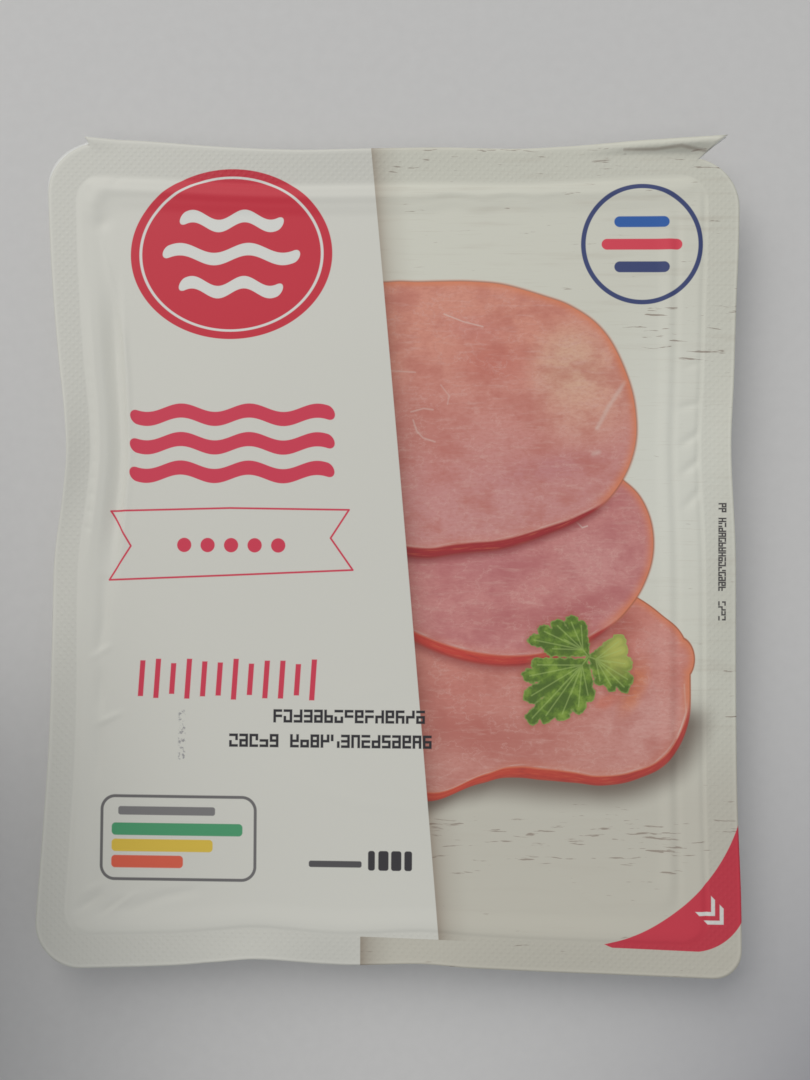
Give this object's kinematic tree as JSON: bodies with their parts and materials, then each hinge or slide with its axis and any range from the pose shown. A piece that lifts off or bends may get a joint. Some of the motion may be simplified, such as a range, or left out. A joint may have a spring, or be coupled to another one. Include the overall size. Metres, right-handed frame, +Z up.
{
  "type": "bacon pack",
  "caption": "Shut flat pack of sliced bacon: shallow formed tray with a wide sealed flange and a printed lid film drawn down over the slices.",
  "frame": {"origin": "on the surface that the pack lies on, under the middle of its straight-sided plan", "axes": "+Z up out of the printed face, +Y towards the top of the print, +X to its right"},
  "size_m": [0.1651, 0.1982, 0.0151],
  "materials": {
    "printed_film": "satin white film with a printed face",
    "tray_web": "glossy white formed plastic"
  },
  "bodies": {
    "root": {"filled_tray": "tray_web", "lid_film": "printed_film"}
  },
  "joints": []
}
